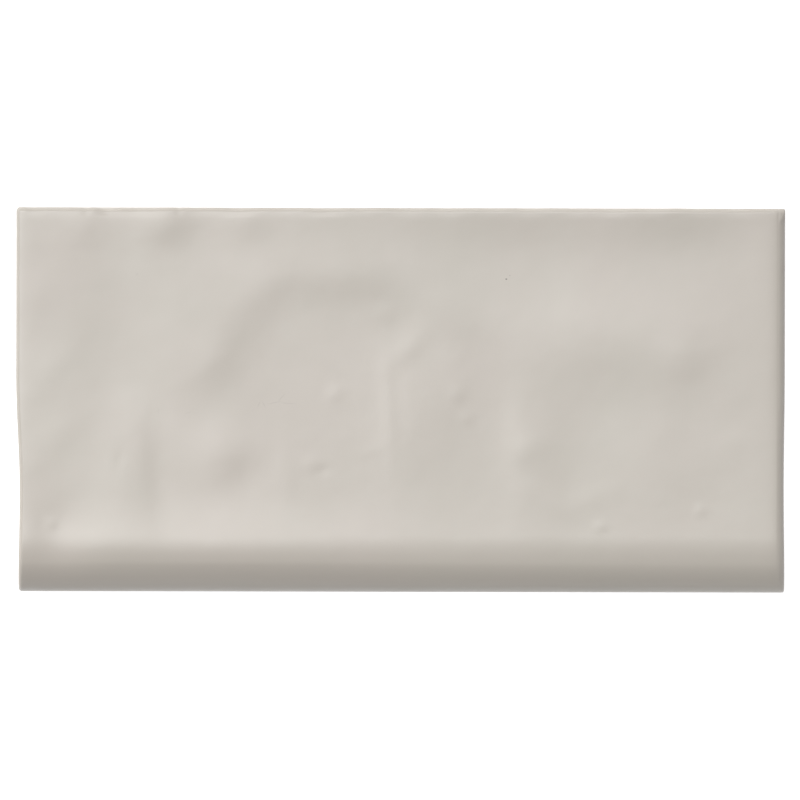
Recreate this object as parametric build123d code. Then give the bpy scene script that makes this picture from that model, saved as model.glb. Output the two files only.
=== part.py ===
from build123d import *
import math
import os

# A glazed wall tile with one rounded long edge, in millimetres.
# Origin: middle of the back face. +X along the length, +Y towards the
# square long edge, +Z out of the glazed face. The rounded edge is at -Y.

tile_length = 150.0
tile_width = 75.0
tile_thickness = 8.5

# the rounded long edge: the face falls ever more steeply over the
# shoulder, then a round runs down to a short upright band
shoulder_width = 11.0
shoulder_drop = 2.4
nose_radius = 7.0
least_band = 0.8

# the other edges: a small round, and a small flat around the back
edge_round = 0.9
back_chamfer = 0.35

# the two ends, true over the upper part and drawn in a little below it
straight_end_length = 32.5
left_dip = 0.76
left_dip_y = -18.4
left_corner_inset = 0.5
right_dip = 0.17
right_dip_y = -16.0
end_band = 1.5

# keying grooves in the back
groove_width = 4.5
groove_pitch = 8.0
groove_depth = 0.6
groove_margin = 6.5

# how finely the wavy face is drawn, and how far past the outline
wave_step = 2.5
wave_overhang = 4.0
wave_tolerance = 0.01
top_room = 3.0

# what counts as lying on a plane, what counts as an upright edge, and how
# many places along the front edge are looked at for its lowest one
near = 0.01
upright_rise = 0.9
probe_steps = 20

# gentle waves of the glazed face. Each one: its place as shares of half
# the length and half the width, its reach along and across, its turn in
# degrees, and its height above the plain face
waves = [
    (0.68, 1.035, 15.0, 6.8, 0.0, 0.46),
    (0.25, 1.04, 20.0, 6.8, 0.0, 0.36),
    (-0.21, 1.09, 20.0, 8.0, 0.0, 0.26),
    (0.56, 0.32, 20.0, 9.5, 0.0, 0.36),
    (-0.16, 0.65, 16.0, 4.8, 0.0, 0.17),
    (-0.16, 0.77, 18.0, 8.0, 0.0, 0.14),
    (-0.44, 0.39, 13.0, 5.0, 52.0, 0.20),
    (-0.51, 0.45, 10.0, 9.0, 52.0, 0.16),
    (0.12, 0.47, 9.0, 4.5, -30.0, 0.14),
    (-0.73, 0.32, 20.0, 8.0, 90.0, -0.20),
    (-0.62, 0.95, 5.5, 5.0, 0.0, 0.20),
    (-0.72, -0.37, 13.0, 5.0, 90.0, 0.18),
    (-0.47, -0.29, 6.0, 5.5, 0.0, 0.20),
    (-0.56, -0.81, 42.0, 7.2, 0.0, 0.44),
    (-0.89, -0.72, 6.0, 9.0, 0.0, -0.26),
    (0.08, 0.03, 15.0, 8.0, 78.0, 0.20),
    (0.35, -0.24, 15.0, 5.5, 88.0, 0.15),
    (0.67, -0.21, 14.0, 8.0, 80.0, 0.12),
]

half_length = tile_length / 2
half_width = tile_width / 2


def face_height(x, y):
    """Height of the glazed face above the back."""
    z = tile_thickness
    for share_x, share_y, along, across, turn, rise in waves:
        dx = x - share_x * half_length
        dy = y - share_y * half_width
        c = math.cos(math.radians(turn))
        s = math.sin(math.radians(turn))
        u = (dx * c + dy * s) / along
        v = (dy * c - dx * s) / across
        z += rise * math.exp(-u * u - v * v)
    past = max(0.0, shoulder_width - half_width - y)
    return z - shoulder_drop * (past / shoulder_width) ** 2


def outline_face():
    """The tile seen from above, with its two slightly bowed ends."""
    bend_y = half_width - straight_end_length
    top_left = Vector(-half_length, half_width)
    top_right = Vector(half_length, half_width)
    bend_left = Vector(-half_length, bend_y)
    bend_right = Vector(half_length, bend_y)
    low_left = Vector(-half_length + left_corner_inset, -half_width)
    low_right = Vector(half_length, -half_width)
    dip_left = Vector(-half_length + left_dip, left_dip_y)
    dip_right = Vector(half_length - right_dip, right_dip_y)
    down = (0, -1)
    sides = [
        Line(top_left, bend_left),
        Spline(bend_left, dip_left, low_left, tangents=[down, down]),
        Line(low_left, low_right),
        Spline(bend_right, dip_right, low_right, tangents=[down, down]),
        Line(bend_right, top_right),
        Line(top_right, top_left),
    ]
    return make_face(sides)


def wavy_surface():
    """The glazed face, drawn a little past the outline."""
    reach_x = tile_length + 2 * wave_overhang
    reach_y = tile_width + 2 * wave_overhang
    columns = math.ceil(reach_x / wave_step)
    rows = math.ceil(reach_y / wave_step)
    grid = []
    for i in range(columns + 1):
        x = -reach_x / 2 + reach_x * i / columns
        line = []
        for j in range(rows + 1):
            y = -reach_y / 2 + reach_y * j / rows
            line.append(Vector(x, y, face_height(x, y)))
        grid.append(line)
    return Face.make_surface_from_array_of_points(grid, tol=wave_tolerance)


# blank, with the wavy face taken off its top
blank = extrude(outline_face(), amount=tile_thickness + top_room)
body = blank - Solid.extrude(wavy_surface(), Vector(0, 0, 2 * top_room))

# rounded long edge, no larger than the front wall can carry
front_edge = None
for edge in body.edges():
    middle = edge.center()
    on_front = abs(middle.Y + half_width) < near
    if on_front and middle.Z > least_band and edge.length > half_length:
        front_edge = edge
lowest_front = min((front_edge @ (k / probe_steps)).Z for k in range(probe_steps + 1))
front_slope = math.atan(2 * shoulder_drop / shoulder_width)
wall_limit = (lowest_front - least_band) / math.tan(math.pi / 4 - front_slope / 2)
body = fillet(front_edge, min(nose_radius, wall_limit))

# small round on both ends, the square long edge and the corners
round_edges = []
for edge in body.edges():
    middle = edge.center()
    at_end = abs(middle.X) > half_length - end_band and middle.Z > near
    at_back = abs(middle.Y - half_width) < near and middle.Z > tile_thickness / 2
    upright = abs((edge % 0.5).Z) > upright_rise
    seam = upright and abs(middle.Y) < half_width - end_band
    if (at_end or at_back) and not seam:
        round_edges.append(edge)
body = fillet(round_edges, edge_round)

# keying grooves, an even number, so that a land lies on the middle line
room = tile_width - 2 * groove_margin - groove_width
groove_count = 2 * ((int(room / groove_pitch) + 1) // 2)
groove_length = tile_length - 2 * groove_margin
for k in range(groove_count):
    groove_y = (k - (groove_count - 1) / 2) * groove_pitch
    slot = Pos(0, groove_y) * SlotOverall(groove_length, groove_width)
    body = body - extrude(slot, amount=groove_depth)

# small flat around the back
back_edges = []
for edge in body.edges():
    middle = edge.center()
    at_end = abs(middle.X) > half_length - end_band
    at_side = abs(middle.Y) > half_width - end_band
    if abs(middle.Z) < near and (at_end or at_side):
        back_edges.append(edge)
body = chamfer(back_edges, back_chamfer)

body.label = "tile"
os.makedirs("parts", exist_ok=True)
export_step(body, "parts/tile.step")
print("nose", round(min(nose_radius, wall_limit), 2), "of", round(wall_limit, 2), "grooves", groove_count)
print("volume", round(body.volume), "valid", body.is_valid)
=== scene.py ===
import math
import bpy
import numpy as np
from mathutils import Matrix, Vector


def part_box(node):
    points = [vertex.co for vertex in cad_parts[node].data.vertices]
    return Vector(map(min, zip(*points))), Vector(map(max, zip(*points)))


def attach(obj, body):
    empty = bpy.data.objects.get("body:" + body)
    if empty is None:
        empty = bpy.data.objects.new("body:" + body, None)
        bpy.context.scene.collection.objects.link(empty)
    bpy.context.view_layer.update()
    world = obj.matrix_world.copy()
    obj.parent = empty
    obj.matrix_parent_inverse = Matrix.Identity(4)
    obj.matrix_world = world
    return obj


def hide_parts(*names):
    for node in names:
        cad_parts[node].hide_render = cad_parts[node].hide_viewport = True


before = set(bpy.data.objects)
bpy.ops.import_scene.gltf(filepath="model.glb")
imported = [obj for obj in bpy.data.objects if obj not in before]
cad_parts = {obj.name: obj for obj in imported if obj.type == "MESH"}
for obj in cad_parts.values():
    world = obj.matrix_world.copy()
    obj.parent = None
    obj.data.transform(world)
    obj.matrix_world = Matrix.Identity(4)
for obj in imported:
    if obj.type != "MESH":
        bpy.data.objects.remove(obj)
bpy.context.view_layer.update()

mm = 0.001
tileLow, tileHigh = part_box("tile")
halfLength = tileHigh.x / mm   # the tile is drawn in millimetres and turned to metres at the end
halfWidth = tileHigh.y / mm
print("frame loaded, tile", round(2 * halfLength, 2), "x", round(2 * halfWidth, 2), "mm")

# The fired tile: its section, its two ends and the waves of its face

tileShape = {
    "thickness": 8.5,          # plain face above the back
    "edgeRound": 0.9,          # small round on the square long edge
    "backFlat": 0.35,          # small flat around the back
    "shoulderWidth": 11.0,     # where the face begins to fall towards the rounded edge
    "shoulderDrop": 2.4,
    "noseRadius": 7.0,
    "noseFade": 1.5,           # how soon the waves die out round the rounded edge
    "bendY": 5.0,              # above this height both ends are straight
    "leftDip": 0.76,           # deepest point of the left end, and where it lies
    "leftDipY": -18.4,
    "leftCorner": 0.5,
    "rightDip": 0.17,
    "rightDipY": -16.0,
}

meshSteps = {
    "along": 300,              # columns over the length
    "across": 138,             # rows over the flat of the face
    "rim": 24,                 # extra columns beside each end
    "rimReach": 3.0,
    "backRim": 10,             # extra rows beside the square edge
    "backRimReach": 1.8,
    "nose": 24,                # rows round the rounded edge
    "round": 6,                # rows round a small edge
    "wall": 10,                # rows down a side wall
    "grooveEnd": 6,            # points round a corner of a groove in the back
    "sharpAngle": 40.0,        # degrees past which an edge isn't shaded smooth
}

# Broad waves: place as shares of half the length and half the width, then reach along,
# reach across, turn in degrees and height in mm
broadWaves = [
    (0.68, 1.035, 15.0, 6.8, 0.0, 0.46),     # raised lip at the square edge, right
    (0.25, 1.04, 20.0, 6.8, 0.0, 0.36),
    (-0.21, 1.09, 20.0, 8.0, 0.0, 0.26),
    (0.56, 0.32, 20.0, 9.5, 0.0, 0.36),      # wide swell in the right half
    (-0.16, 0.65, 16.0, 4.8, 0.0, 0.17),     # ridge left of the middle, with its long back
    (-0.16, 0.77, 18.0, 8.0, 0.0, 0.14),
    (-0.44, 0.39, 13.0, 5.0, 52.0, 0.20),    # its slanting end
    (-0.51, 0.45, 10.0, 9.0, 52.0, 0.16),
    (0.12, 0.47, 9.0, 4.5, -30.0, 0.14),     # its tail
    (-0.73, 0.32, 20.0, 8.0, 90.0, -0.20),   # hollow near the left end
    (-0.62, 0.95, 5.5, 5.0, 0.0, 0.20),      # knob in the upper left
    (-0.72, -0.37, 13.0, 5.0, 90.0, 0.18),   # upright fold, lower left
    (-0.47, -0.29, 6.0, 5.5, 0.0, 0.20),     # thumb mark
    (-0.56, -0.81, 42.0, 7.2, 0.0, 0.44),    # swell before the rounded edge, and its end
    (-0.89, -0.72, 6.0, 9.0, 0.0, -0.26),
    (0.08, 0.03, 15.0, 8.0, 78.0, 0.20),     # middle fold
    (0.35, -0.24, 15.0, 5.5, 88.0, 0.15),    # second fold
    (0.67, -0.21, 14.0, 8.0, 80.0, 0.12),    # low rise on the right
]

# Small marks of the hand and the glaze, given in the same way, with the place in mm
smallMarks = [
    (-71.0, 21.0, 6.0, 4.0, 45.0, 0.05),     # slanting folds at the left end
    (-68.8, 4.9, 9.0, 3.6, 45.0, 0.045),
    (-68.3, -8.4, 9.0, 3.4, 45.0, 0.06),
    (-68.0, -20.0, 7.0, 4.0, 60.0, 0.05),
    (-50.4, -14.0, 11.0, 2.4, 96.0, 0.045),  # narrow upright valley
    (-47.0, -14.0, 12.0, 2.6, 91.0, -0.025),
    (-54.8, -11.8, 2.4, 1.0, 80.0, -0.03),
    (-30.0, 35.4, 4.4, 4.0, 0.0, 0.10),      # knobs under the square edge
    (-62.5, 33.5, 3.5, 4.0, 0.0, 0.07),
    (-46.0, 33.8, 4.0, 4.0, 0.0, 0.07),
    (-36.8, 7.2, 4.5, 4.0, 52.0, 0.09),      # slanting ridge: lower at its end, less in its middle
    (-34.0, 13.5, 8.0, 5.0, 52.0, -0.08),
    (0.0, -35.0, 80.0, 6.0, 0.0, 0.27),      # fullness before the rounded edge
    (-34.0, -29.5, 22.0, 6.0, 0.0, 0.10),
    (-67.5, -27.0, 5.0, 7.0, 0.0, -0.10),
    (-60.0, 37.8, 22.0, 1.8, 0.0, -0.08),    # softer fall to the square edge on the left
    (-28.0, 37.8, 12.0, 1.6, 0.0, -0.05),
    (-22.6, -14.5, 6.0, 2.4, 92.0, 0.04),
    (-2.4, -1.5, 10.0, 1.5, 93.0, 0.06),     # middle ridge
    (0.6, -3.0, 10.0, 4.0, 90.0, 0.06),
    (1.4, 10.0, 5.0, 2.4, 48.0, 0.085),      # its slanting upper end
    (-5.6, -10.0, 2.4, 1.2, 10.0, 0.02),     # and its spur
    (22.8, -7.0, 12.0, 2.4, 91.0, 0.045),    # second ridge
    (25.0, 1.5, 3.4, 2.0, 0.0, 0.02),
    (55.0, 8.0, 5.0, 4.6, 0.0, 0.11),        # rises on the right
    (24.8, -9.4, 3.8, 3.0, 0.0, 0.07),
    (29.0, -19.5, 5.0, 1.8, -35.0, 0.03),
    (37.0, -19.5, 7.0, 3.0, 25.0, 0.05),
    (62.0, -10.0, 9.0, 4.0, 30.0, 0.05),
    (64.0, 1.0, 7.0, 4.0, 40.0, 0.04),
    (-12.9, 1.0, 1.6, 1.6, 0.0, 0.038),      # low bumps
    (10.9, 1.2, 1.7, 1.7, 0.0, 0.038),
    (12.8, -3.6, 1.3, 1.3, 0.0, 0.03),
    (-3.4, 16.9, 2.2, 1.8, 0.0, 0.04),
    (39.2, -24.6, 1.3, 1.1, 0.0, 0.04),
    (58.5, -21.5, 1.2, 1.1, 0.0, 0.045),
    (-68.1, -24.2, 1.2, 1.2, 0.0, 0.04),
    (-15.0, -13.9, 1.4, 1.0, 20.0, -0.03),   # dents
    (-17.6, -12.6, 2.0, 1.4, 20.0, 0.03),
    (-30.0, -14.5, 3.6, 3.4, 0.0, -0.05),
]


def smoothStep(t):
    t = np.clip(t, 0.0, 1.0)
    return t * t * (3.0 - 2.0 * t)


def waveHeight(x, y):
    total = np.zeros(np.broadcast(x, y).shape)
    broad = [(shareX * halfLength, shareY * halfWidth, *rest) for shareX, shareY, *rest in broadWaves]
    for placeX, placeY, along, across, turn, rise in broad + smallMarks:
        dx, dy = x - placeX, y - placeY
        c, s = math.cos(math.radians(turn)), math.sin(math.radians(turn))
        u, v = (dx * c + dy * s) / along, (dy * c - dx * s) / across
        total += rise * np.exp(-u * u - v * v)
    return total


def plainHeight(y):
    past = np.maximum(0.0, tileShape["shoulderWidth"] - halfWidth - y)
    return tileShape["thickness"] - tileShape["shoulderDrop"] * (past / tileShape["shoulderWidth"]) ** 2


def endInset(y, dip, dipY, corner):
    # how far an end is drawn in at y: nothing above the bend, most at the dip
    upper = smoothStep((tileShape["bendY"] - y) / (tileShape["bendY"] - dipY)) * dip
    lower = dip + (corner - dip) * smoothStep((dipY - y) / (dipY + halfWidth))
    return np.where(y > dipY, upper, lower)


def noseCentre():
    # the round that touches the front wall and the falling shoulder
    radius = tileShape["noseRadius"]
    centreY = -halfWidth + radius
    firstGap, tries = 0.01, 4000
    y = np.linspace(-halfWidth + firstGap, centreY, tries)
    centreZ = plainHeight(y) - np.sqrt(radius ** 2 - (y - centreY) ** 2)
    touch = int(np.argmin(centreZ))
    return centreY, float(centreZ[touch]), float(y[touch])


def tileSection():
    # rows of the section from the back wall over the face to the front wall:
    # place, plain height, share of the waves it carries, and where it reads them
    r, low, radius = tileShape["edgeRound"], tileShape["backFlat"], tileShape["noseRadius"]
    noseY, noseZ, touchY = noseCentre()
    backY = halfWidth - r
    top = float(plainHeight(backY)) - r
    rows = [(halfWidth - low, 0.0, 0.0, backY)]
    for share in np.linspace(0, 1, meshSteps["wall"], endpoint=False):
        rows.append((halfWidth, low + (top - low) * share, share, backY))
    for turn in np.linspace(0, math.pi / 2, meshSteps["round"], endpoint=False):
        rows.append((backY + r * math.cos(turn), top + r * math.sin(turn), 1.0, backY))
    firstY = backY - meshSteps["backRimReach"]
    for y in np.linspace(backY, firstY, meshSteps["backRim"], endpoint=False):
        rows.append((y, float(plainHeight(y)), 1.0, y))
    for y in np.linspace(firstY, touchY, meshSteps["across"], endpoint=False):
        rows.append((y, float(plainHeight(y)), 1.0, y))
    start = math.acos((touchY - noseY) / radius)
    for share in np.linspace(0, 1, meshSteps["nose"], endpoint=False):
        turn = start + (math.pi - start) * share
        y = noseY + radius * math.cos(turn)
        rows.append((y, noseZ + radius * math.sin(turn), (1 - share) ** tileShape["noseFade"], y))
    for share in np.linspace(0, 1, meshSteps["wall"] + 1):
        rows.append((-halfWidth, noseZ + (low - noseZ) * share, 0.0, -halfWidth))
    rows.append((low - halfWidth, 0.0, 0.0, -halfWidth))
    return np.array(rows).T


def outwardNormals(y, z):
    # outward direction at each row of one section, exact on the walls and the small round
    wall, turnRows = meshSteps["wall"], meshSteps["round"]
    alongY, alongZ = np.gradient(y), np.gradient(z)
    size = np.hypot(alongY, alongZ)
    ny, nz = alongZ / size, -alongY / size
    turn = np.linspace(0, math.pi / 2, turnRows + 1)
    ny[:1 + wall], nz[:1 + wall] = 1.0, 0.0
    ny[1 + wall:2 + wall + turnRows], nz[1 + wall:2 + wall + turnRows] = np.cos(turn), np.sin(turn)
    ny[-wall - 2:], nz[-wall - 2:] = -1.0, 0.0
    return ny, nz


def gridFaces(first, rows, columns):
    index = first + np.arange(rows * columns).reshape(rows, columns)
    corners = (index[:-1, :-1], index[1:, :-1], index[1:, 1:], index[:-1, 1:])
    return np.stack([c.ravel() for c in corners], axis=1)


def alongRows(back, face, front):
    # a value for every row: back corner, then the face, then the front corner
    corner = np.full(1 + meshSteps["wall"] + meshSteps["round"], back)
    beside = back + (face - back) * np.linspace(0, 1, meshSteps["backRim"], endpoint=False)
    flat = np.full(meshSteps["across"], face)
    nose = face + (front - face) * smoothStep(np.linspace(0, 1, meshSteps["nose"], endpoint=False))
    return np.concatenate([corner, beside, flat, nose, np.full(meshSteps["wall"] + 2, front)])


# How each end turns down: round at the back corner, along the face and at the front corner,
# the tilt at which it starts, how far the face sinks towards it and over what reach, and how deep
# the fine crease beside the round is
endShapes = {
    "left": {
        "back": 0.7,
        "face": 0.75,
        "front": 0.6,
        "tilt": 0.0,
        "sink": 0.070,
        "reach": 0.9,
        "crease": 0.0,
    },
    "right": {
        "back": 0.4,
        "face": 1.2,
        "front": 0.4,
        "tilt": 13.0,
        "sink": 0.140,
        "reach": 1.0,
        "crease": 0.03,
    },
}


def endRound(x, y, z, side, shape):
    # columns that turn one end of the grid down into its end wall
    ny, nz = outwardNormals(y, z)
    radius = alongRows(shape["back"], shape["face"], shape["front"])
    radius[[0, -1]] -= tileShape["backFlat"]
    tilt = np.radians(alongRows(0.0, shape["tilt"], 0.0))
    scale = radius / (1 - np.sin(tilt))
    columns = []
    for share in np.linspace(0, 1, meshSteps["round"] + 1)[1:]:
        turn = tilt + (math.pi / 2 - tilt) * share
        outwards = scale * (np.sin(turn) - np.sin(tilt))
        inwards = scale * (np.cos(tilt) - np.cos(turn))
        columns.append((x + side * outwards, y - ny * inwards, z - nz * inwards))
    return columns


def endWall(edge, side):
    # a wall that stands straight down from the turned edge, with its small flat at the foot
    low, wall = tileShape["backFlat"], meshSteps["wall"]
    rows = np.repeat(edge[None], wall + 2, axis=0)
    share = np.linspace(0, 1, wall + 1)[:, None]
    rows[:-1, :, 2] = edge[None, :, 2] + (low - edge[None, :, 2]) * share
    rows[-1, :, 0] -= side * low
    rows[-1, :, 2] = 0.0
    return rows


creasePlace = 0.1   # inward of the round
creaseReach = 0.14


def endSink(x):
    # the face sinks a little towards both ends, with a fine crease beside the right one
    total = 0.0
    for side, name in ((-1, "left"), (1, "right")):
        shape = endShapes[name]
        inward = halfLength - side * x - shape["face"]
        total = total - shape["sink"] * np.exp(-inward / shape["reach"])
        total = total - shape["crease"] * np.exp(-((inward - creasePlace) / creaseReach) ** 2)
    return total


# Nicks along the square edge: place along it, depth, reach
rimNicks = [
    (-61.4, 0.12, 0.8),
    (-57.7, 0.16, 1.6),
    (-52.0, 0.06, 2.6),
    (-43.4, 0.10, 0.5),
    (-31.0, 0.06, 3.0),
    (-14.8, 0.08, 4.0),
    (12.0, 0.04, 3.0),
    (38.0, 0.05, 5.0),
]

# How the square edge wanders, and where that fades out
squareEdge = {
    "depth": 0.05,
    "wander": 0.025,
    "longWave": 3.1,
    "shortWave": 1.3,
    "foot": 6.2,               # height at which it starts
    "rise": 1.4,
    "faceReach": 0.7,
    "endGap": 1.2,
    "endReach": 2.0,
    "droop": 0.4,              # share of the depth by which the edge sinks as well
}


def nickSquareEdge(grid):
    # the square edge wanders a little and has shallow nicks
    x = grid[:, :, 0]
    wander = np.sin(x / squareEdge["longWave"]) + np.sin(x / squareEdge["shortWave"] + 1.0)
    depth = squareEdge["depth"] + squareEdge["wander"] * wander
    for place, deep, reach in rimNicks:
        depth = depth + deep * np.exp(-((x - place) / reach) ** 2)
    backY = halfWidth - tileShape["edgeRound"]
    upper = smoothStep((grid[:, :, 2] - squareEdge["foot"]) / squareEdge["rise"])
    beside = np.exp(-(np.maximum(0.0, backY - grid[:, :, 1]) / squareEdge["faceReach"]) ** 2)
    fromEnds = smoothStep((halfLength - squareEdge["endGap"] - np.abs(x)) / squareEdge["endReach"])
    depth = depth * upper * beside * fromEnds
    grid[:, :, 1] -= depth
    grid[:, :, 2] -= squareEdge["droop"] * depth


def buildSkin():
    # rows follow the section, columns run from the left end to the right end
    y, plain, waveShare, waveY = tileSection()
    leftShape, rightShape = endShapes["left"], endShapes["right"]
    leftInset = endInset(y, tileShape["leftDip"], tileShape["leftDipY"], tileShape["leftCorner"])
    leftRound = alongRows(leftShape["back"], leftShape["face"], leftShape["front"])
    left = leftInset - halfLength + leftRound
    rightInset = endInset(y, tileShape["rightDip"], tileShape["rightDipY"], 0.0)
    rightRound = alongRows(rightShape["back"], rightShape["face"], rightShape["front"])
    right = halfLength - rightInset - rightRound
    rim, reach = meshSteps["rim"], meshSteps["rimReach"] / (2 * halfLength)
    share = np.concatenate([np.linspace(0, reach, rim, endpoint=False),
                            np.linspace(reach, 1 - reach, meshSteps["along"], endpoint=False),
                            np.linspace(1 - reach, 1, rim + 1)])
    x = left[:, None] + (right - left)[:, None] * share
    z = plain[:, None] + waveShare[:, None] * (waveHeight(x, waveY[:, None]) + endSink(x))
    columns = endRound(x[:, 0], y, z[:, 0], -1, leftShape)[::-1]
    columns += [(x[:, k], y, z[:, k]) for k in range(len(share))]
    columns += endRound(x[:, -1], y, z[:, -1], 1, rightShape)
    grid = np.array(columns).transpose(2, 0, 1)   # row, column, place
    nickSquareEdge(grid)
    points = [grid.reshape(-1, 3)]
    faces = [gridFaces(0, *grid.shape[:2])]
    firstRow = 1 + meshSteps["wall"]
    lastRow = len(y) - meshSteps["wall"] - 2
    for column, side in ((0, -1), (-1, 1)):
        wall = endWall(grid[firstRow:lastRow + 1, column], side)
        wallFaces = gridFaces(sum(len(p) for p in points), *wall.shape[:2])
        faces.append(wallFaces[:, ::-side])   # wound so that both walls face outward
        points.append(wall.reshape(-1, 3))
    return np.concatenate(points), np.concatenate(faces)


# Where the glaze changes, in mm
glazeReach = {
    "faceDepth": 1.2,          # how far below the face a point still belongs to it
    "faceBlend": 0.8,
    "rimWidth": 0.55,          # the worn rim, and how it fades inward and down the wall
    "rimFade": 0.7,
    "rimFoot": 4.0,
    "rimRise": 3.0,
    "rippleStart": 0.3,        # how far from the edges the ripples start
    "rippleBlend": 1.8,
    "frontLine": 0.7,          # where the glaze stops on the front wall, and how that line rises
    "lineRise": 4.1,
    "lineStart": 0.8,
    "lineBlend": 9.0,
}


def glazeFacts(points):
    # what the glaze follows: the flat of the face, the worn rims and the line where it stops
    x, y, z = points.T
    fromFront = halfWidth + y
    edge = np.minimum(halfLength - np.abs(x), halfWidth - y)
    onFace = smoothStep((z - plainHeight(y) + glazeReach["faceDepth"]) / glazeReach["faceBlend"])
    onRim = np.exp(-(np.maximum(edge - glazeReach["rimWidth"], 0.0) / glazeReach["rimFade"]) ** 2)
    rim = onRim * smoothStep((z - glazeReach["rimFoot"]) / glazeReach["rimRise"])
    inward = np.minimum(edge, fromFront) - glazeReach["rippleStart"]
    faceShare = smoothStep(inward / glazeReach["rippleBlend"]) * onFace
    lineShare = smoothStep((fromFront - glazeReach["lineStart"]) / glazeReach["lineBlend"])
    glazeLine = glazeReach["frontLine"] + glazeReach["lineRise"] * lineShare
    return {"rim": rim, "faceShare": faceShare, "glazeLine": glazeLine * mm}


# Node tree helpers

def addNode(tree, kind, inputs=None, **settings):
    # inputs: socket name or number, and the socket or the plain value that goes in
    node = tree.nodes.new(kind)
    for key, value in settings.items():
        setattr(node, key, value)
    for key, value in (inputs or {}).items():
        socket = node.inputs[key]
        if isinstance(value, bpy.types.NodeSocket):
            tree.links.new(value, socket)
        else:
            socket.default_value = value
    return node


def newTree(name, kind, inputs, outputs):
    tree = bpy.data.node_groups.new(name, kind)
    for label, socketType, value in inputs:
        socket = tree.interface.new_socket(label, in_out="INPUT", socket_type=socketType)
        if value is not None:
            socket.default_value = value
    for label, socketType in outputs:
        tree.interface.new_socket(label, in_out="OUTPUT", socket_type=socketType)
    return tree, tree.nodes.new("NodeGroupInput"), tree.nodes.new("NodeGroupOutput")


def mathOf(tree, operation, a, b=0.0):
    return addNode(tree, "ShaderNodeMath", {0: a, 1: b}, operation=operation).outputs[0]


def scaled(tree, vector, factor):
    return addNode(tree, "ShaderNodeVectorMath", {0: vector, "Scale": factor},
                   operation="SCALE").outputs[0]


def joined(tree, *geometries):
    node = tree.nodes.new("GeometryNodeJoinGeometry")
    for geometry in geometries:
        tree.links.new(geometry, node.inputs[0])
    return node.outputs[0]


def welded(tree, geometry):
    # makes one point of any two that lie within a thousandth of a millimetre
    return addNode(tree, "GeometryNodeMergeByDistance",
                   {"Geometry": geometry, "Distance": mm / 1000}).outputs[0]


def grooveOutlines(tree, given):
    # rounded outlines in a row across the back
    outline = addNode(tree, "GeometryNodeCurvePrimitiveQuadrilateral",
                      {"Width": given.outputs["Groove Length"], "Height": given.outputs["Groove Width"]})
    roundShare = 0.499   # just under half the width, so that the two corners of an end don't meet
    radius = mathOf(tree, "MULTIPLY", given.outputs["Groove Width"], roundShare)
    slot = addNode(tree, "GeometryNodeFilletCurve",
                   {"Curve": outline.outputs["Curve"], "Count": meshSteps["grooveEnd"],
                    "Radius": radius}, mode="POLY")
    pitch = addNode(tree, "ShaderNodeCombineXYZ", {"Y": given.outputs["Groove Pitch"]}).outputs[0]
    gaps = mathOf(tree, "SUBTRACT", given.outputs["Groove Count"], 1.0)
    start = scaled(tree, scaled(tree, pitch, gaps), -0.5)
    line = addNode(tree, "GeometryNodeMeshLine",
                   {"Count": given.outputs["Groove Count"], "Start Location": start, "Offset": pitch})
    spread = addNode(tree, "GeometryNodeInstanceOnPoints",
                     {"Points": line.outputs["Mesh"], "Instance": slot.outputs["Curve"]})
    return addNode(tree, "GeometryNodeRealizeInstances", {"Geometry": spread.outputs[0]}).outputs[0]


def groovedBack(tree, given, skin):
    # fills the open underside round the groove outlines and sinks a pocket into each
    neighbours = tree.nodes.new("GeometryNodeInputMeshEdgeNeighbors")
    isOpen = addNode(tree, "FunctionNodeCompare", {2: neighbours.outputs[0], 3: 1},
                     data_type="INT", operation="EQUAL")
    ring = addNode(tree, "GeometryNodeMeshToCurve", {"Mesh": skin, "Selection": isOpen.outputs[0]})
    outlines = grooveOutlines(tree, given)
    plate = addNode(tree, "GeometryNodeFillCurve",
                    {"Curve": joined(tree, ring.outputs[0], outlines)}, mode="TRIANGLES")
    floor = addNode(tree, "GeometryNodeFillCurve", {"Curve": outlines}, mode="NGONS")
    depth = addNode(tree, "ShaderNodeCombineXYZ", {"Z": given.outputs["Groove Depth"]})
    pocket = addNode(tree, "GeometryNodeExtrudeMesh",
                     {"Mesh": floor.outputs[0], "Offset": depth.outputs[0], "Individual": False},
                     mode="FACES")
    underside = joined(tree, plate.outputs[0], pocket.outputs[0])
    back = addNode(tree, "GeometryNodeFlipFaces", {"Mesh": underside})
    return addNode(tree, "GeometryNodeStoreNamedAttribute",
                   {"Geometry": back.outputs[0], "Name": "bareBack", "Value": True},
                   data_type="BOOLEAN", domain="FACE").outputs[0]


def rippled(tree, given, geometry):
    # soft ripples and orange peel of the fired glaze, along the surface normal
    normal = tree.nodes.new("GeometryNodeInputNormal").outputs[0]
    share = addNode(tree, "GeometryNodeInputNamedAttribute", {"Name": "faceShare"}, data_type="FLOAT")
    total = None
    for size, height in (("Soft Size", "Soft Height"), ("Fine Size", "Fine Height")):
        ripple = addNode(tree, "ShaderNodeTexNoise",
                         {"W": given.outputs["Seed"], "Scale": given.outputs[size], "Detail": 2.0},
                         noise_dimensions="4D")
        swing = mathOf(tree, "SUBTRACT", ripple.outputs[0], 0.5)
        lift = mathOf(tree, "MULTIPLY", swing, given.outputs[height])
        total = lift if total is None else mathOf(tree, "ADD", total, lift)
    offset = scaled(tree, normal, mathOf(tree, "MULTIPLY", total, share.outputs[0]))
    return addNode(tree, "GeometryNodeSetPosition", {"Geometry": geometry, "Offset": offset}).outputs[0]


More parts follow.
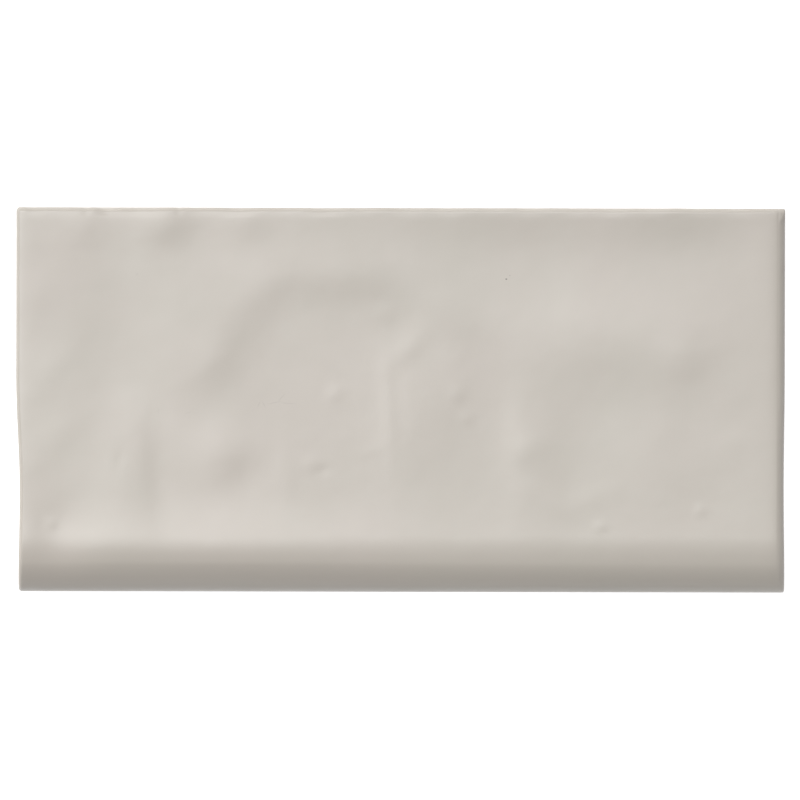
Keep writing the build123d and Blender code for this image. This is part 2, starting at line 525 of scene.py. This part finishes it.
def tileTree():
    floatKind, geometryKind = "NodeSocketFloat", "NodeSocketGeometry"
    tree, given, result = newTree("tileBody", "GeometryNodeTree", [
        ("Skin", geometryKind, None),
        ("Groove Count", "NodeSocketInt", 1),
        ("Groove Length", floatKind, 0.1),
        ("Groove Width", floatKind, 0.004),
        ("Groove Pitch", floatKind, 0.008),
        ("Groove Depth", floatKind, 0.0005),
        ("Soft Size", floatKind, 100.0),
        ("Soft Height", floatKind, 0.0),
        ("Fine Size", floatKind, 1000.0),
        ("Fine Height", floatKind, 0.0),
        ("Seed", floatKind, 0.0),
        ("Glaze", "NodeSocketMaterial", None),
        ("Bare Clay", "NodeSocketMaterial", None),
    ], [("Tile", geometryKind)])
    skin = welded(tree, given.outputs["Skin"])
    body = welded(tree, joined(tree, skin, groovedBack(tree, given, skin)))
    real = addNode(tree, "GeometryNodeRealizeInstances", {"Geometry": rippled(tree, given, body)})
    glazed = addNode(tree, "GeometryNodeSetMaterial",
                     {"Geometry": real.outputs[0], "Material": given.outputs["Glaze"]})
    isBare = addNode(tree, "GeometryNodeInputNamedAttribute", {"Name": "bareBack"}, data_type="BOOLEAN")
    bare = addNode(tree, "GeometryNodeSetMaterial",
                   {"Geometry": glazed.outputs[0], "Selection": isBare.outputs[0],
                    "Material": given.outputs["Bare Clay"]})
    tree.links.new(bare.outputs[0], result.inputs[0])
    return tree


# Materials

bareLook = {
    "light": (0.72, 0.66, 0.58, 1),
    "dark": (0.60, 0.53, 0.45, 1),
    "patchScale": 120.0,
    "patchEdges": (0.3, 0.7),
    "grainScale": 2600.0,
    "speckScale": 700.0,
    "speckEdges": (0.08, 0.26),
    "speckAmount": 0.35,
    "roughness": 0.85,
}

fineBump = {
    "height": 0.1,             # mm
    "strength": 0.6,
}


def noise(tree, place, scale, detail):
    return addNode(tree, "ShaderNodeTexNoise",
                   {"Vector": place, "Scale": scale, "Detail": detail}).outputs[0]


def ramp(tree, value, fromMin, fromMax, toMin=0.0, toMax=1.0):
    return addNode(tree, "ShaderNodeMapRange",
                   {"Value": value, "From Min": fromMin, "From Max": fromMax,
                    "To Min": toMin, "To Max": toMax}).outputs[0]


def mixed(tree, share, a, b, blend="MIX"):
    return addNode(tree, "ShaderNodeMix", {0: share, 6: a, 7: b},
                   data_type="RGBA", blend_type=blend).outputs[2]


def clayBodyGroup():
    # pale fired clay: soft colour patches, fine grain and a few darker specks
    tree, given, result = newTree("firedClay", "ShaderNodeTree", [
        ("Light Clay", "NodeSocketColor", bareLook["light"]),
        ("Dark Clay", "NodeSocketColor", bareLook["dark"]),
        ("Patch Scale", "NodeSocketFloat", bareLook["patchScale"]),
        ("Grain Scale", "NodeSocketFloat", bareLook["grainScale"]),
        ("Speck Scale", "NodeSocketFloat", bareLook["speckScale"]),
        ("Speck Amount", "NodeSocketFloat", bareLook["speckAmount"]),
    ], [("Color", "NodeSocketColor"), ("Height", "NodeSocketFloat")])
    light, dark = given.outputs["Light Clay"], given.outputs["Dark Clay"]
    place = tree.nodes.new("ShaderNodeTexCoord").outputs["Object"]
    patches = noise(tree, place, given.outputs["Patch Scale"], 4.0)
    clay = mixed(tree, ramp(tree, patches, *bareLook["patchEdges"]), light, dark)
    specks = addNode(tree, "ShaderNodeTexVoronoi",
                     {"Vector": place, "Scale": given.outputs["Speck Scale"]})
    speckMask = ramp(tree, specks.outputs["Distance"], *bareLook["speckEdges"], 1.0, 0.0)
    speckShare = mathOf(tree, "MULTIPLY", speckMask, given.outputs["Speck Amount"])
    tree.links.new(mixed(tree, speckShare, clay, dark), result.inputs["Color"])
    tree.links.new(noise(tree, place, given.outputs["Grain Scale"], 3.0), result.inputs["Height"])
    return tree


def clayIn(tree, clayGroup):
    # the fired clay as this tile shows it
    return addNode(tree, "ShaderNodeGroup",
                   {"Light Clay": bareLook["light"], "Dark Clay": bareLook["dark"]}, node_tree=clayGroup)


def fineRelief(tree, shader, height):
    # relief that is too fine for the mesh
    bump = addNode(tree, "ShaderNodeBump",
                   {"Height": height, "Distance": fineBump["height"] * mm,
                    "Strength": fineBump["strength"]})
    tree.links.new(bump.outputs[0], shader.inputs["Normal"])


def newMaterial(name, **plain):
    material = bpy.data.materials.new(name)
    material.use_nodes = True
    shader = material.node_tree.nodes["Principled BSDF"]
    for key, value in plain.items():
        shader.inputs[key.replace("_", " ")].default_value = value
    return material, material.node_tree, shader


def attribute(tree, name):
    return addNode(tree, "ShaderNodeAttribute", attribute_name=name).outputs["Fac"]


glazeLook = {
    "rosy": (0.560, 0.510, 0.458, 1),
    "mossy": (0.545, 0.508, 0.450, 1),     # a slightly greener tone in soft clouds
    "thick": (0.505, 0.468, 0.415, 1),     # where it pooled along its lower line
    "thinRim": (0.590, 0.552, 0.500, 1),   # where it thinned over the rims
    "mark": (0.06, 0.05, 0.045, 1),        # a pinhole or craze mark
    "upper": (0.97, 0.97, 0.97, 1),        # painted shade towards the square edge, and painted light towards the rounded one, for the fall of light across the face
    "lower": (1.03, 1.03, 1.03, 1),
    "smoothest": 0.285,                    # roughness, in soft smears
    "roughest": 0.35,
    "peelScale": 1500.0,
    "peelHeight": 0.012,
    "cloudScale": 38.0,                    # how fine the clouds, the rims, the smears and the line are
    "rimScale": 260.0,
    "smearScale": 90.0,
    "lineScale": 140.0,
    "cloudEdges": (0.25, 0.75),
    "smearEdges": (0.2, 0.8),
    "lineWander": 1.8,                     # how far the glaze's lower line wanders, in mm
    "lineBlend": 0.25,
    "lipStart": 0.2,                       # thicker glaze above the line
    "lipEnd": 1.6,
    "lipShare": 0.5,
    "markCore": 0.5,                       # how a mark fades, as shares of its own size
    "markEdge": 1.2,
}

# Pinhole and fine craze marks in the glaze: place, half length, half width, turn, darkness; in mm
glazeMarks = [
    (20.6, 23.6, 0.20, 0.16, 0.0, 0.75),
    (21.3, 24.3, 0.12, 0.10, 0.0, 0.35),
    (-27.6, -0.9, 0.75, 0.10, 62.0, 0.10),
    (-26.6, -1.0, 0.75, 0.10, -60.0, 0.10),
    (-24.6, -0.6, 1.60, 0.10, 12.0, 0.10),
    (-23.2, 0.4, 1.10, 0.10, 48.0, 0.10),
    (-22.0, -0.7, 1.50, 0.10, -4.0, 0.10),
    (-47.2, -2.3, 0.60, 0.10, 80.0, 0.06),
    (-41.4, -2.6, 0.90, 0.10, 20.0, 0.06),
    (-51.4, 24.4, 0.35, 0.30, 0.0, 0.05),
]


def markShare(tree, place):
    # how dark the pinhole and the craze marks make the glaze at a place
    total = None
    for x, y, along, across, turn, dark in glazeMarks:
        local = addNode(tree, "ShaderNodeMapping",
                        {"Vector": place, "Location": (x * mm, y * mm, 0.0),
                         "Rotation": (0.0, 0.0, math.radians(turn)),
                         "Scale": (along * mm, across * mm, 1.0)},
                        vector_type="TEXTURE")
        gap = addNode(tree, "ShaderNodeVectorMath", {0: local.outputs[0]}, operation="LENGTH")
        mark = ramp(tree, gap.outputs["Value"], glazeLook["markCore"], glazeLook["markEdge"], dark, 0.0)
        total = mark if total is None else mathOf(tree, "MAXIMUM", total, mark)
    return total


def glazeColor(tree, place):
    # soft clouds of two tones, with painted shade towards the square edge and painted light towards the
    # rounded one, paler where a rim is worn
    clouds = ramp(tree, noise(tree, place, glazeLook["cloudScale"], 3.0), *glazeLook["cloudEdges"])
    color = mixed(tree, clouds, glazeLook["rosy"], glazeLook["mossy"])
    apart = addNode(tree, "ShaderNodeSeparateXYZ", {0: place})
    # painted shade and light: the glaze colour is multiplied a little darker towards the square edge and
    # a little lighter towards the rounded one
    across = ramp(tree, apart.outputs["Y"], -halfWidth * mm, halfWidth * mm)
    paintedShading = mixed(tree, across, glazeLook["lower"], glazeLook["upper"])
    color = mixed(tree, 1.0, color, paintedShading, "MULTIPLY")
    rimNoise = noise(tree, place, glazeLook["rimScale"], 4.0)
    worn = mathOf(tree, "MULTIPLY", attribute(tree, "rim"), rimNoise)
    color = mixed(tree, worn, color, glazeLook["thinRim"])
    return mixed(tree, markShare(tree, place), color, glazeLook["mark"])


def heightAboveLine(tree, place):
    # how high a place is above the wandering line where the glaze stops on the side walls
    swing = mathOf(tree, "SUBTRACT", noise(tree, place, glazeLook["lineScale"], 5.0), 0.5)
    wander = mathOf(tree, "MULTIPLY", swing, glazeLook["lineWander"] * mm)
    line = mathOf(tree, "ADD", attribute(tree, "glazeLine"), wander)
    apart = addNode(tree, "ShaderNodeSeparateXYZ", {0: place})
    return mathOf(tree, "SUBTRACT", apart.outputs["Z"], line)


def glazeMaterial(clayGroup):
    material, tree, shader = newMaterial("warmGreyGlaze", IOR=1.5)
    place = tree.nodes.new("ShaderNodeTexCoord").outputs["Object"]
    above = heightAboveLine(tree, place)
    glazed = ramp(tree, above, 0.0, glazeLook["lineBlend"] * mm)
    lip = ramp(tree, above, glazeLook["lipStart"] * mm, glazeLook["lipEnd"] * mm,
               glazeLook["lipShare"], 0.0)
    color = mixed(tree, lip, glazeColor(tree, place), glazeLook["thick"])
    clay = clayIn(tree, clayGroup)
    tree.links.new(mixed(tree, glazed, clay.outputs["Color"], color), shader.inputs["Base Color"])
    # smooth where glazed, dull where bare
    smear = noise(tree, place, glazeLook["smearScale"], 3.0)
    gloss = ramp(tree, smear, *glazeLook["smearEdges"], glazeLook["smoothest"], glazeLook["roughest"])
    rough = addNode(tree, "ShaderNodeMix", {0: glazed, 2: bareLook["roughness"], 3: gloss},
                    data_type="FLOAT")
    tree.links.new(rough.outputs[0], shader.inputs["Roughness"])
    peelNoise = noise(tree, place, glazeLook["peelScale"], 2.0)
    peel = mathOf(tree, "MULTIPLY", peelNoise, glazeLook["peelHeight"])
    relief = addNode(tree, "ShaderNodeMix", {0: glazed, 2: clay.outputs["Height"], 3: peel},
                     data_type="FLOAT")
    fineRelief(tree, shader, relief.outputs[0])
    return material


def bareClayMaterial(clayGroup):
    material, tree, shader = newMaterial("bareClay", Roughness=bareLook["roughness"])
    clay = clayIn(tree, clayGroup)
    tree.links.new(clay.outputs["Color"], shader.inputs["Base Color"])
    fineRelief(tree, shader, clay.outputs["Height"])
    return material


backGrooves = {
    "count": 8,
    "length": 137.0,
    "width": 4.5,
    "pitch": 8.0,
    "depth": 0.6,
}

glazeRipples = {
    "softSize": 0.22,          # ripples per millimetre
    "softHeight": 0.035,
    "fineSize": 0.6,
    "fineHeight": 0.006,
    "seed": 7.3,
}


def buildTile():
    clayGroup = clayBodyGroup()
    points, faces = buildSkin()
    mesh = bpy.data.meshes.new("tileSkin")
    mesh.from_pydata((points * mm).tolist(), [], faces.tolist())
    for name, values in glazeFacts(points).items():
        layer = mesh.attributes.new(name, "FLOAT", "POINT")
        layer.data.foreach_set("value", values.astype(np.float32))
    mesh.update()
    print("skin", len(points), "points,", len(faces), "faces")
    glaze = glazeMaterial(clayGroup)
    mesh.materials.append(glaze)
    values = {
        "Groove Count": backGrooves["count"],
        "Groove Length": backGrooves["length"] * mm,
        "Groove Width": backGrooves["width"] * mm,
        "Groove Pitch": backGrooves["pitch"] * mm,
        "Groove Depth": backGrooves["depth"] * mm,
        "Soft Size": glazeRipples["softSize"] / mm,
        "Soft Height": glazeRipples["softHeight"] * mm,
        "Fine Size": glazeRipples["fineSize"] / mm,
        "Fine Height": glazeRipples["fineHeight"] * mm,
        "Seed": glazeRipples["seed"],
        "Glaze": glaze,
        "Bare Clay": bareClayMaterial(clayGroup),
    }
    tree = tileTree()
    tile = bpy.data.objects.new("glazedTile", mesh)
    bpy.context.scene.collection.objects.link(tile)
    modifier = tile.modifiers.new("tileBody", "NODES")
    modifier.node_group = tree
    for item in tree.interface.items_tree:
        if item.in_out == "INPUT" and item.name in values:
            modifier[item.identifier] = values[item.name]
    evaluated = tile.evaluated_get(bpy.context.evaluated_depsgraph_get())
    finished = bpy.data.meshes.new_from_object(evaluated)
    tile.modifiers.remove(modifier)
    tile.data = finished
    for slot in reversed(range(len(finished.materials))):
        if finished.materials[slot] is None:   # the joined back leaves an empty slot
            finished.materials.pop(index=slot)
    finished.shade_smooth()
    finished.set_sharp_from_angle(angle=math.radians(meshSteps["sharpAngle"]))
    print("tile", len(finished.vertices), "points,", len(finished.polygons), "faces")
    return tile


tile = buildTile()
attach(tile, "root")
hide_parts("tile")


# Floor, light and camera

studio = {
    "floorSize": 6.0,
    "floorGlow": 0.88,                 # how much of the white the camera sees is its own
    "floorColor": (0.55, 0.55, 0.55, 1),
    "floorRoughness": 0.9,
    "ambient": 0.235,
    "lens": 1200.0,
    "sensor": 36.0,
    "nearestSeen": 0.01,
    "frameWidth": 156.05,              # millimetres across the picture at the face
    "frameMiddle": (-0.08, -0.02),
    "frameTurn": 0.12,
}

# Soft lights: the way they stand from the tile, distance and size in metres, power in watts.
# The two low ones aren't mirrored in the glaze, so that its face still shows at a grazing angle
softLights = {
    "overheadSoftbox": {
        "way": (-0.13, 0.153, 1.0),
        "distance": 10.0,
        "size": 4.0,
        "power": 396.0,
        "mirrored": True,
    },
    "topLight": {
        "way": (-0.20, 0.94, 0.32),
        "distance": 4.0,
        "size": 1.8,
        "power": 80.0,
        "mirrored": False,
    },
    "leftLight": {
        "way": (-0.95, 0.14, 0.27),
        "distance": 4.0,
        "size": 1.8,
        "power": 74.0,
        "mirrored": False,
    },
}


def seenPlain(tree):
    # 1 where the camera sees a surface directly, mirrored or through glass
    path = tree.nodes.new("ShaderNodeLightPath")
    seen = mathOf(tree, "MAXIMUM", path.outputs["Is Camera Ray"], path.outputs["Is Glossy Ray"])
    return mathOf(tree, "MAXIMUM", seen, path.outputs["Is Transmission Ray"])


def buildFloor():
    half = studio["floorSize"] / 2
    corners = [(-half, -half, 0), (half, -half, 0), (half, half, 0), (-half, half, 0)]
    mesh = bpy.data.meshes.new("floor")
    mesh.from_pydata(corners, [], [(0, 1, 2, 3)])
    floor = bpy.data.objects.new("floor", mesh)
    bpy.context.scene.collection.objects.link(floor)
    material, tree, shader = newMaterial("whiteFloor", Base_Color=studio["floorColor"],
                                         Roughness=studio["floorRoughness"])
    shader.inputs["Emission Color"].default_value = (1, 1, 1, 1)
    glow = mathOf(tree, "MULTIPLY", seenPlain(tree), studio["floorGlow"])
    tree.links.new(glow, shader.inputs["Emission Strength"])
    mesh.materials.append(material)


def buildLight():
    world = bpy.data.worlds.new("studio")
    bpy.context.scene.world = world
    world.use_nodes = True
    tree = world.node_tree
    background = tree.nodes["Background"]
    background.inputs["Color"].default_value = (1, 1, 1, 1)
    strength = ramp(tree, seenPlain(tree), 0.0, 1.0, studio["ambient"], 1.0)
    tree.links.new(strength, background.inputs["Strength"])
    for name, light in softLights.items():
        lamp = bpy.data.lights.new(name, "AREA")
        lamp.shape = "SQUARE"
        lamp.size = light["size"]
        lamp.energy = light["power"]
        holder = bpy.data.objects.new(name, lamp)
        way = Vector(light["way"]).normalized()
        holder.location = way * light["distance"]
        holder.visible_glossy = light["mirrored"]
        holder.rotation_euler = way.to_track_quat("Z", "Y").to_euler()
        bpy.context.scene.collection.objects.link(holder)


def buildCamera():
    camera = bpy.data.cameras.new("overhead")
    camera.lens = studio["lens"]
    camera.sensor_width = studio["sensor"]
    camera.clip_start = studio["nearestSeen"]
    holder = bpy.data.objects.new("overhead", camera)
    distance = studio["frameWidth"] * mm * studio["lens"] / studio["sensor"]
    middle = studio["frameMiddle"]
    holder.location = (middle[0] * mm, middle[1] * mm, tileShape["thickness"] * mm + distance)
    holder.rotation_euler = (0, 0, math.radians(studio["frameTurn"]))
    bpy.context.scene.collection.objects.link(holder)
    bpy.context.scene.camera = holder


buildFloor()
buildLight()
buildCamera()
bpy.context.scene.view_settings.view_transform = "Standard"
print("floor, light and camera in place")
